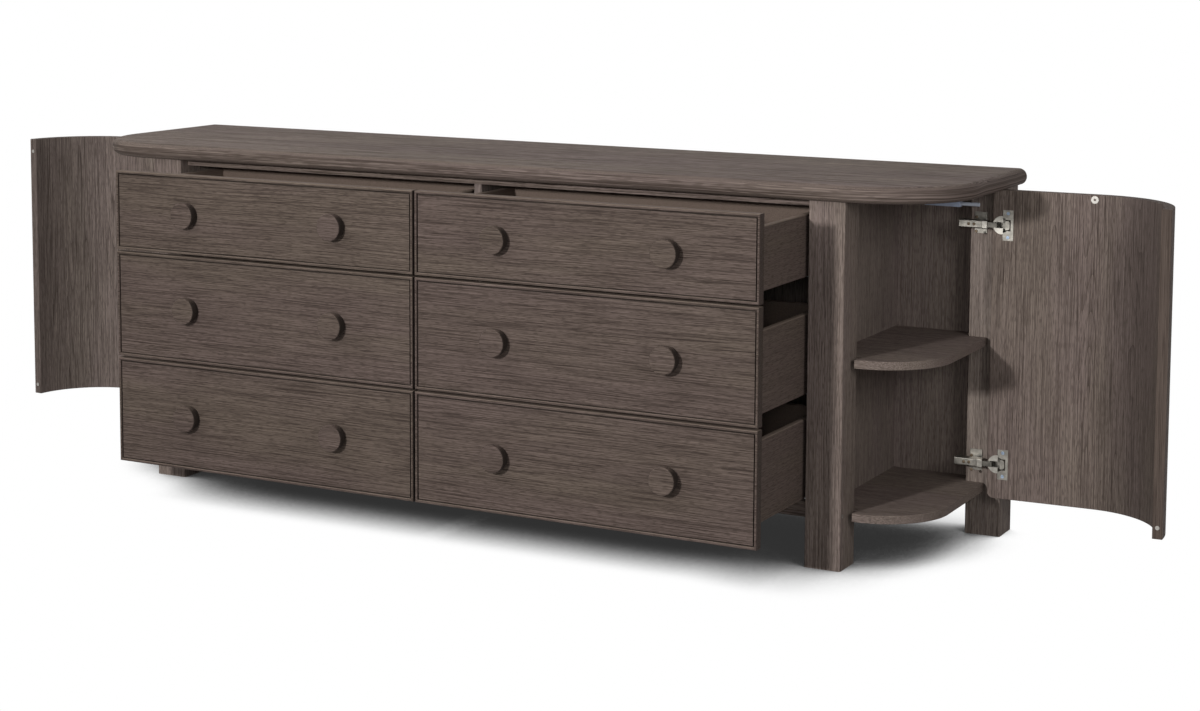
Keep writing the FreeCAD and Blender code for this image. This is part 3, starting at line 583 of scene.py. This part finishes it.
# %% [markdown]
# ## Hinge steel, runner steel and the catches
# The cup hinges are pressed steel with a nickel plate, darker on the necks, the runners are zinc
# plated, and the catch plates are dull. One plain grey would look like paint, so all of them are
# metals with faint press marks and uneven brightness.

# %% Metal finishes
CLOUDS = (90, 90, 90)
CLOUD_DETAIL = 3.0
CLOUD_LEVELS = (0.3, 0.75)
PRESS_MARKS = (2600, 500, 900)
CLOUDS_DULL, MARKS_DULL = 0.14, 0.08
PRESSING = {"Strength": 0.12, "Distance": 0.0002}


def plated(name, colour, roughness, grime):
    """A plated steel; grime is how dark its dullest spots are."""
    steel = Finish(name)
    cloud = steel.scaled_noise(CLOUDS, CLOUD_DETAIL)
    marks = steel.scaled_noise(PRESS_MARKS)
    shade = steel.blend(cloud.between(*CLOUD_LEVELS), dimmed(colour, grime), colour)
    relief = steel.add("Bump", None, {**PRESSING, "Height": marks})
    gloss = roughness + cloud * CLOUDS_DULL + marks * MARKS_DULL
    skin = steel.add(
        "BsdfPrincipled",
        None,
        {"Base Color": shade, "Metallic": 1.0, "Roughness": gloss, "Normal": relief},
    )
    steel.add("OutputMaterial", None, {"Surface": skin})
    return steel.material


nickel = plated("nickel_plate", paint(150, 146, 138), 0.30, 0.6)
zinc = plated("zinc_plate", paint(176, 178, 180), 0.26, 0.8)
catch_steel = plated("catch_steel", paint(170, 166, 160), 0.3, 0.75)
neck_steel = plated("neck_steel", paint(104, 101, 95), 0.34, 0.6)
for node in ("hinge_plates", "hinge_arms", "hinge_screws"):
    dress(node, nickel)
dress("hinge_necks", neck_steel)
dress("carcase_runners", zinc)
dress("post_catches", catch_steel)
for node in sides("hinge_cups", "hinge_pins"):
    dress(node, nickel)
for node in sides("strike_plate", "door_magnets"):
    dress(node, catch_steel)
for node in drawers("runners"):
    dress(node, zinc)
print("metals:", [metal.name for metal in (nickel, zinc, catch_steel, neck_steel)])

# %% [markdown]
# The push latches are moulded plastic, a cool grey, with the fine sparkle of a textured mould. A
# fine bump gives that sparkle without any more faces.

# %% Latch plastic
MOULD_GRAINS = (1500, 1500, 1500)
MOULD_CLOUDS = (60, 60, 60)
MOULD_TEXTURE = {"Strength": 0.2, "Distance": 0.0001}
MOULD_DARK = 0.85
GRAINS_DULL = 0.15


def moulded(name, colour, roughness):
    """A plastic from a finely textured mould."""
    plastic = Finish(name)
    grains = plastic.scaled_noise(MOULD_GRAINS)
    cloud = plastic.scaled_noise(MOULD_CLOUDS)
    shade = plastic.blend(cloud, dimmed(colour, MOULD_DARK), colour)
    relief = plastic.add("Bump", None, {**MOULD_TEXTURE, "Height": grains})
    gloss = roughness + grains * GRAINS_DULL
    skin = plastic.add(
        "BsdfPrincipled",
        None,
        {"Base Color": shade, "Roughness": gloss, "Normal": relief},
    )
    plastic.add("OutputMaterial", None, {"Surface": skin})
    return plastic.material


housing_grey = moulded("latch_housing_grey", paint(162, 172, 194), 0.4)
plunger_grey = moulded("latch_plunger_grey", paint(172, 178, 190), 0.35)
dress("latch_housings", housing_grey)
for node in sides("latch_plunger"):
    dress(node, plunger_grey)
print("plastics:", housing_grey.name, plunger_grey.name)

# %% [markdown]
# ## Hinge trim
# The hinges have small parts that catch the light: cross-headed screws, two pressed leaves that
# close the cup beside the arm, a cover plate ringed by a painted shadow line, and a cap on the arm's
# end.
# They could be drawn as bumps in the finish, but these pieces stand proud and throw tiny shadows,
# so they are shaped. Each is made flat at the origin and then set on its seat by a matrix.
#
# A door's trim is laid out on the closed door, measured from the hinge pin: along the door, up, and
# out of its inner face. The seat then swings open with the door. The carcase's trim faces forward.

# %% Seats
PLATE_HALF = 0.023

joints = {joint["name"]: joint for joint in frame["joints"]}
plates_low, plates_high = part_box("hinge_plates")
LEVELS = (plates_low.z + PLATE_HALF, plates_high.z - PLATE_HALF)
arm_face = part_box("hinge_arms")[0].y
plate_face = plates_low.y


def seat(place, along, out):
    """Moves a shape made at the origin to a place: its x goes along, its y up, its z out."""
    turned = Matrix((along, (0, 0, 1), out)).transposed().to_4x4()
    return Matrix.Translation(place) @ turned


def side_of(hand):
    return 1 if hand == "right" else -1


def pin_of(hand, level):
    x, y, _ = joints[f"door_{hand}_hinge"]["pos_m"]
    return Vector((x, y, level))


def door_seat(hand, level):
    side = side_of(hand)
    opened = -joints[f"door_{hand}_hinge"]["range_deg"][0]
    swing = Matrix.Rotation(math.radians(side * opened), 4, "Z")
    place = Matrix.Translation(pin_of(hand, level))
    return place @ swing @ seat((0, 0, 0), (0, -1, 0), (-side, 0, 0))


def carcase_seat(hand, level, inward, y, up=0.0):
    x = pin_of(hand, level).x - side_of(hand) * inward
    return seat((x, y, level + up), (1, 0, 0), (0, -1, 0))


print("hinge levels:", [round(level, 4) for level in LEVELS])
print("arm and plate faces:", round(arm_face, 4), round(plate_face, 4))


def moved_by(part, made, way):
    """Moves the vertices that an extrusion made."""
    fresh = [item for item in made if isinstance(item, bmesh.types.BMVert)]
    bmesh.ops.translate(part, verts=fresh, vec=way)


def assemble(name, body, material, parts):
    """One trim piece out of small shapes, each set on its seat."""
    whole = bmesh.new()
    mesh = bpy.data.meshes.new(name)
    for part, place in parts:
        part.transform(place)
        part.to_mesh(mesh)
        part.free()
        whole.from_mesh(mesh)
    bmesh.ops.recalc_face_normals(whole, faces=whole.faces[:])
    whole.to_mesh(mesh)
    whole.free()
    mesh.materials.append(material)
    made = bpy.data.objects.new(name, mesh)
    bpy.context.scene.collection.objects.link(made)
    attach(made, body)
    print(name, len(mesh.polygons), "faces")
    return made


bronze = plated("hinge_screw_bronze", paint(112, 98, 82), 0.35, 0.5)
blue_zinc = plated("flange_screw_zinc", paint(150, 164, 182), 0.3, 0.7)
bright = plated("leaf_nickel", paint(168, 164, 156), 0.30, 0.75)
# A dark steel for a sheet under each cover: a painted shadow of the gap round it.
shadow_steel = plated("shadow_gap_steel", paint(58, 54, 49), 0.5, 0.6)
print("trim metals:", [metal.name for metal in (bronze, blue_zinc, bright, shadow_steel)])

# %% [markdown]
# A screw is a low pan head with a cross pressed into it. A cylinder with a dark cross painted on
# would be flat in the light, so the cross is a real recess: its outline is bridged to the rim, and
# both are drawn down. Each mounting plate has a screw above and one below its arm, and each arm has
# two, one to fix it and one to adjust it. These heads stand in for the plain ones of the solid part.

# %% Screws
SCREW = (0.0034, 0.0016)
CROSS_ARM, CROSS_SLOT, CROSS_DEPTH = 0.6, 0.17, 0.7
RIM_SIDES = 12
RIM_TURN = 0.9
CROWN = 0.5
PIN_TO_PLATE = 0.044
PIN_TO_SCREWS = 0.0555
PLATE_SCREW_RISE = 0.0155
ARM_SCREW_STEP = 0.006


def screw_head(radius, height):
    """A pan head with a cross recess, standing on the plane z = 0."""
    part = bmesh.new()
    arm = radius * CROSS_ARM
    slot = radius * CROSS_SLOT
    quarter = [(slot, arm), (-slot, arm), (-slot, slot)]
    corners = []
    for turn in range(4):
        spin = Matrix.Rotation(turn * math.pi / 2, 3, "Z")
        corners += [part.verts.new(spin @ Vector((x, y, height))) for x, y in quarter]
    cross = [part.edges.new((a, b)) for a, b in zip(corners, corners[1:] + corners[:1])]
    lift = Matrix.Translation((0, 0, height)) @ Matrix.Rotation(RIM_TURN, 4, "Z")
    rim = bmesh.ops.create_circle(part, segments=RIM_SIDES, radius=radius, matrix=lift)
    rim = list({edge for vert in rim["verts"] for edge in vert.link_edges})
    bmesh.ops.bridge_loops(part, edges=cross + rim)
    for loop, drop in ((rim, height), (cross, height * CROSS_DEPTH)):
        made = bmesh.ops.extrude_edge_only(part, edges=loop)["geom"]
        moved_by(part, made, (0, 0, -drop))
    bottom = [item for item in made if isinstance(item, bmesh.types.BMEdge) and item.is_boundary]
    bmesh.ops.contextual_create(part, geom=bottom)
    bmesh.ops.bevel(
        part, geom=rim, offset=height * CROWN, segments=3, profile=0.5, affect="EDGES", material=-1
    )
    return part


heads = []
for hand in HANDS:
    for level in LEVELS:
        for rise in (-PLATE_SCREW_RISE, PLATE_SCREW_RISE):
            place = carcase_seat(hand, level, PIN_TO_PLATE, plate_face, rise)
            heads.append((screw_head(*SCREW), place))
        for step in (-ARM_SCREW_STEP, ARM_SCREW_STEP):
            place = carcase_seat(hand, level, PIN_TO_SCREWS + step, arm_face)
            heads.append((screw_head(*SCREW), place))
screws = assemble("hinge_screw_heads", "carcase", bronze, heads)
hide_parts("hinge_screws")

# %% [markdown]
# The cap on an arm's end is a small pressed cover. It could be bent from a sheet, but only its
# crown shows, so it is a block with rounded edges that is sunk in the arm.

# %% Arm caps
CAP_HALF_LENGTH = 0.006
CAP_HALF_HEIGHT = 0.0086
CAP_SUNK, CAP_PROUD = 0.006, 0.0012
CAP_ROUND = 0.0010
PIN_TO_CAP = 0.026


def block(low, high, round_by):
    """A box between two corners, with its edges rounded."""
    part = bmesh.new()
    low, high = Vector(low), Vector(high)
    size = Matrix.Diagonal((*(high - low), 1))
    bmesh.ops.create_cube(part, size=1, matrix=Matrix.Translation((low + high) / 2) @ size)
    bmesh.ops.bevel(
        part, geom=part.edges[:], offset=round_by, segments=2, profile=0.5, affect="EDGES", material=-1
    )
    return part


cap_low = (-CAP_HALF_LENGTH, -CAP_HALF_HEIGHT, -CAP_SUNK)
cap_high = (CAP_HALF_LENGTH, CAP_HALF_HEIGHT, CAP_PROUD)
caps = []
for hand in HANDS:
    for level in LEVELS:
        place = carcase_seat(hand, level, PIN_TO_CAP, arm_face)
        caps.append((block(cap_low, cap_high, CAP_ROUND), place))
assemble("hinge_arm_caps", "carcase", bright, caps)

# %% [markdown]
# On the door, a flange lies round the cup with a screw at each end. The cup's mouth is half closed
# by two thin leaves, each a disc that is cut off beside the arm and at the flange. A thin dark plate
# under the cover shows as a line round it: a painted shadow of the gap round the cover. All of it
# rides on the door and swings with it.

# %% Door trim
FLANGE_FACE = 0.0102
FLANGE_SCREW = (0.0038, 0.0010)
FLANGE_SCREW_ALONG = 0.0235
FLANGE_SCREW_RISE = 0.026
LEAF_CENTRE = 0.010
LEAF_RADIUS = 0.0196
LEAF_SIDES = 48
LEAF_END = 0.0125
LEAF_THICK = 0.0007
ARM_HALF = 0.0066
SHADOW_GAP_LOW = (0.0172, -0.0122, 0.0100)
SHADOW_GAP_HIGH = (0.0292, 0.0122, 0.0106)
SHADOW_GAP_ROUND = 0.0002


def leaf(upward):
    """Half of the pressed cover over the cup: a disc cut off beside the arm and at the flange."""
    part = bmesh.new()
    centre = Matrix.Translation((LEAF_CENTRE, 0, FLANGE_FACE))
    bmesh.ops.create_circle(
        part, cap_ends=True, segments=LEAF_SIDES, radius=LEAF_RADIUS, matrix=centre
    )
    beside_arm = ((0, upward * ARM_HALF, 0), (0, -upward, 0))
    at_flange = ((LEAF_END, 0, 0), (1, 0, 0))
    for spot, way in (beside_arm, at_flange):
        disc = part.verts[:] + part.edges[:] + part.faces[:]
        bmesh.ops.bisect_plane(part, geom=disc, plane_co=spot, plane_no=way, clear_outer=True)
    made = bmesh.ops.extrude_face_region(part, geom=part.faces[:])["geom"]
    moved_by(part, made, (0, 0, LEAF_THICK))
    return part


for hand in HANDS:
    body = "door_" + hand
    fixings = []
    leaves = []
    shadow_gaps = []
    for base in [door_seat(hand, level) for level in LEVELS]:
        for rise in (-FLANGE_SCREW_RISE, FLANGE_SCREW_RISE):
            spot = Matrix.Translation((FLANGE_SCREW_ALONG, rise, FLANGE_FACE))
            fixings.append((screw_head(*FLANGE_SCREW), base @ spot))
        leaves += [(leaf(upward), base) for upward in (1, -1)]
        # A thin dark plate under the cover: a painted shadow line round it.
        shadow_gaps.append((block(SHADOW_GAP_LOW, SHADOW_GAP_HIGH, SHADOW_GAP_ROUND), base))
    assemble("flange_screws_" + hand, body, blue_zinc, fixings)
    assemble("cup_leaves_" + hand, body, bright, leaves)
    assemble("cover_shadow_gaps_" + hand, body, shadow_steel, shadow_gaps)
